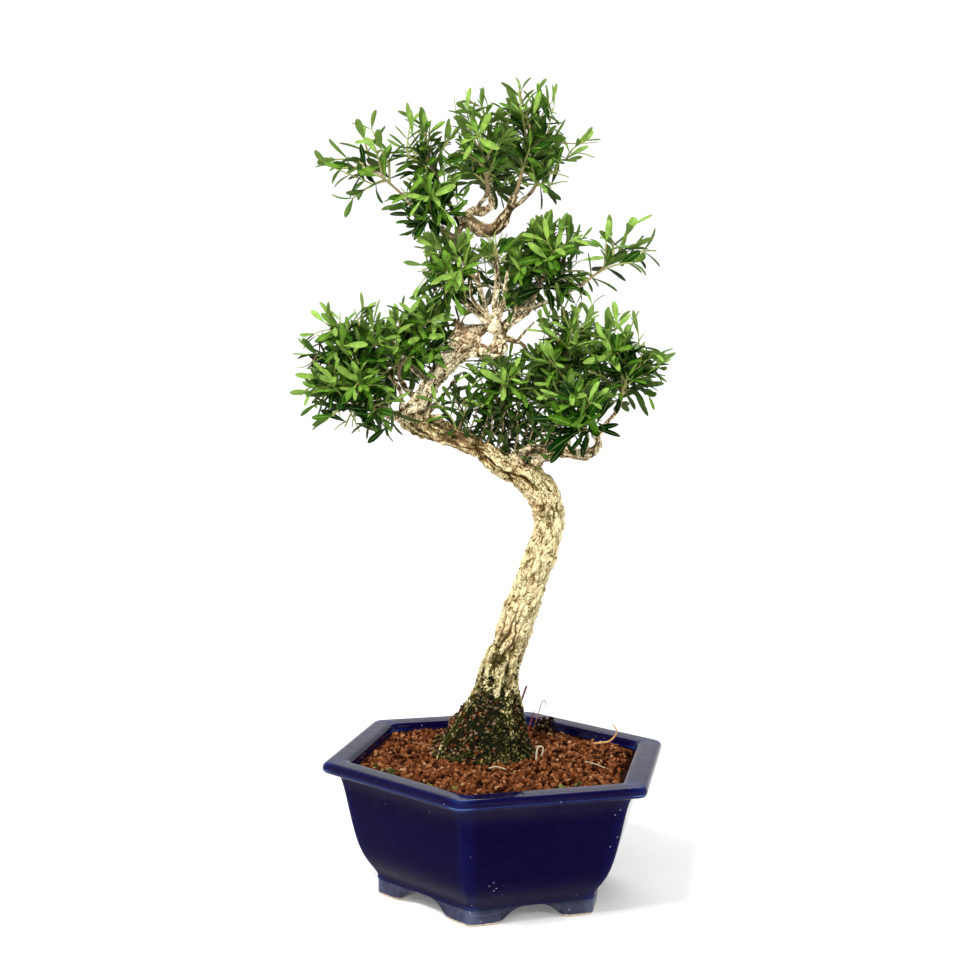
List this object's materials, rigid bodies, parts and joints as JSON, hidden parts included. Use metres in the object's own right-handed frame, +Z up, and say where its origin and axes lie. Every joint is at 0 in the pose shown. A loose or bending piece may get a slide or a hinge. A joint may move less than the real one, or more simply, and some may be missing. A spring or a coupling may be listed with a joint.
{
  "type": "potted bonsai tree",
  "caption": "Boxwood bonsai with a curved tapering trunk and tiers of small narrow leaves, in a blue-glazed hexagonal pot on shaped feet.",
  "frame": {"origin": "on the ground under the middle of the part's bounding box", "axes": "+Z up, front of the tree faces -Y, +X to the viewer's right"},
  "size_m": [0.2044, 0.1942, 0.4443],
  "materials": {
    "glaze": "glossy cobalt-blue glaze, nearly black on the body and brighter at the lip and corners",
    "foot_glaze": "thin dusty blue glaze with a bare edge where the foot stands",
    "soil": "matt red-brown baked clay grains",
    "moss": "dark green moss over roots and soil",
    "bark": "cream corky bark with brown grooves",
    "foliage": "glossy green leaves, yellow-green at the shoot tips and dark inside"
  },
  "bodies": {
    "root": {"pot": "glaze", "foot_1": "foot_glaze", "foot_2": "foot_glaze", "foot_3": "foot_glaze", "foot_4": "foot_glaze", "foot_5": "foot_glaze", "foot_6": "foot_glaze", "soil": "soil", "moss_mound": "moss", "trunk": "bark", "upper_trunk": "bark", "left_bough": "bark", "left_top_bough": "bark", "left_inner_bough": "bark", "left_back_bough": "bark", "hook_limb": "bark", "leader": "bark", "strand_limb": "bark", "centre_shoot": "bark", "brown_shoot": "bark", "right_upper_bough": "bark", "spray_bough": "bark", "middle_back_bough": "bark", "apex_left_bough": "bark", "apex_low_bough": "bark", "apex_shoulder_bough": "bark", "apex_lower_bough": "bark", "apex_upper_bough": "bark", "apex_right_bough": "bark", "apex_back_bough": "bark", "right_lower_bough": "bark", "right_tip_bough": "bark", "right_middle_bough": "bark", "right_front_bough": "bark", "right_inner_bough": "bark", "right_back_bough": "bark", "foliage_apex_crown": "foliage", "foliage_apex_right": "foliage", "foliage_apex_middle": "foliage", "foliage_apex_shoulder": "foliage", "foliage_apex_low": "foliage", "foliage_apex_spray": "foliage", "foliage_apex_back": "foliage", "foliage_middle_left": "foliage", "foliage_middle_right": "foliage", "foliage_middle_centre": "foliage", "foliage_middle_spray": "foliage", "foliage_middle_back": "foliage", "foliage_left_top": "foliage", "foliage_left_low": "foliage", "foliage_left_inner": "foliage", "foliage_left_back": "foliage", "foliage_right_outer": "foliage", "foliage_right_middle": "foliage", "foliage_right_inner": "foliage", "foliage_right_back": "foliage", "foliage_right_front": "foliage"}
  },
  "joints": []
}
